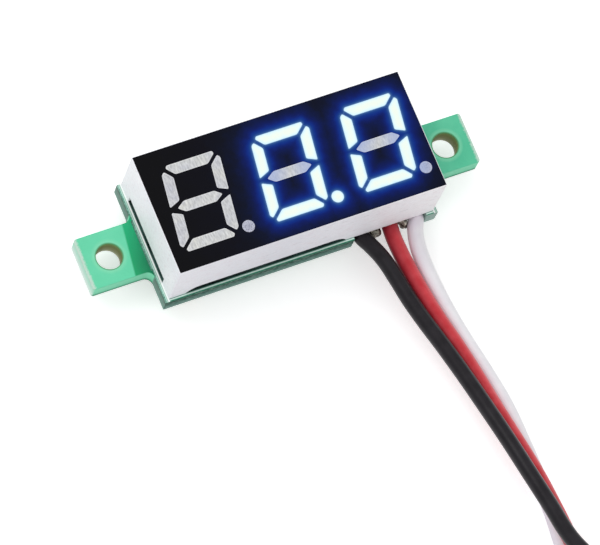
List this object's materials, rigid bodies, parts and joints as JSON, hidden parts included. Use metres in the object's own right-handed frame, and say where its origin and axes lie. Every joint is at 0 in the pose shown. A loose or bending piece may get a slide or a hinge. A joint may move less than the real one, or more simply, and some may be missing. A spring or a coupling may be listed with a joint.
{
  "type": "digital panel meter",
  "caption": "Small panel voltmeter: a three-digit seven-segment LED display on a circuit board with two mounting ears, a rear calibration trimmer and three leads.",
  "frame": {"origin": "under the middle of the circuit board, on the surface that the cut pin ends stand on", "axes": "+Z out of the display's face, +X along the digits from left to right, +Y towards the top of the digits"},
  "size_m": [0.033, 0.0629, 0.009],
  "materials": {
    "circuit_board": "translucent mint-green solder mask on glass-fibre board",
    "white_plastic": "satin white moulded plastic",
    "black_film": "satin black printed film",
    "lit_segment": "diffuse epoxy light pipe, lit",
    "dark_segment": "diffuse epoxy light pipe, unlit",
    "dark_board": "dark laminate",
    "led_die": "semiconductor die",
    "tinned_metal": "bright tin plate",
    "solder": "satin solder",
    "black_moulding": "matt black epoxy moulding",
    "resistor_body": "black-glazed ceramic chip",
    "capacitor_body": "tan ceramic chip",
    "trimmer_ceramic": "off-white ceramic",
    "brass_rotor": "brass",
    "black_insulation": "satin black PVC",
    "red_insulation": "satin red PVC",
    "white_insulation": "satin white PVC"
  },
  "bodies": {
    "meter": {"circuit_board": "circuit_board", "display_housing": "white_plastic", "face_film": "black_film", "segment_1a": "dark_segment", "segment_1b": "dark_segment", "segment_1c": "dark_segment", "segment_1d": "dark_segment", "segment_1e": "dark_segment", "segment_1f": "dark_segment", "segment_1g": "dark_segment", "segment_2a": "lit_segment", "segment_2b": "lit_segment", "segment_2c": "lit_segment", "segment_2d": "lit_segment", "segment_2e": "lit_segment", "segment_2f": "lit_segment", "segment_2g": "dark_segment", "segment_3a": "lit_segment", "segment_3b": "lit_segment", "segment_3c": "lit_segment", "segment_3d": "lit_segment", "segment_3e": "lit_segment", "segment_3f": "lit_segment", "segment_3g": "dark_segment", "point_1": "dark_segment", "point_2": "lit_segment", "point_3": "dark_segment", "chip_board": "dark_board", "led_dies": "led_die", "display_pins": "tinned_metal", "pin_solder": "solder", "controller_chip": "black_moulding", "controller_leads": "tinned_metal", "voltage_regulator": "black_moulding", "regulator_leads": "tinned_metal", "protection_diode": "black_moulding", "diode_leads": "tinned_metal", "chip_resistors": "resistor_body", "chip_capacitors": "capacitor_body", "chip_ends": "tinned_metal", "trimmer_body": "trimmer_ceramic", "trimmer_terminals": "tinned_metal", "wire_conductors": "tinned_metal", "wire_solder": "solder", "black_wire": "black_insulation", "red_wire": "red_insulation", "white_wire": "white_insulation", "black_coil": "black_insulation", "red_coil": "red_insulation", "white_coil": "white_insulation", "black_tip": "tinned_metal", "red_tip": "tinned_metal", "white_tip": "tinned_metal"},
    "trimmer": {"trimmer_rotor": "brass_rotor"}
  },
  "joints": [
    {"name": "trimmer_turn", "type": "hinge", "parent": "meter", "child": "trimmer", "pos_m": [0.0032, 0.0001, 0.0008], "axis": [0, 0, -1], "range_deg": [-105, 105]}
  ]
}
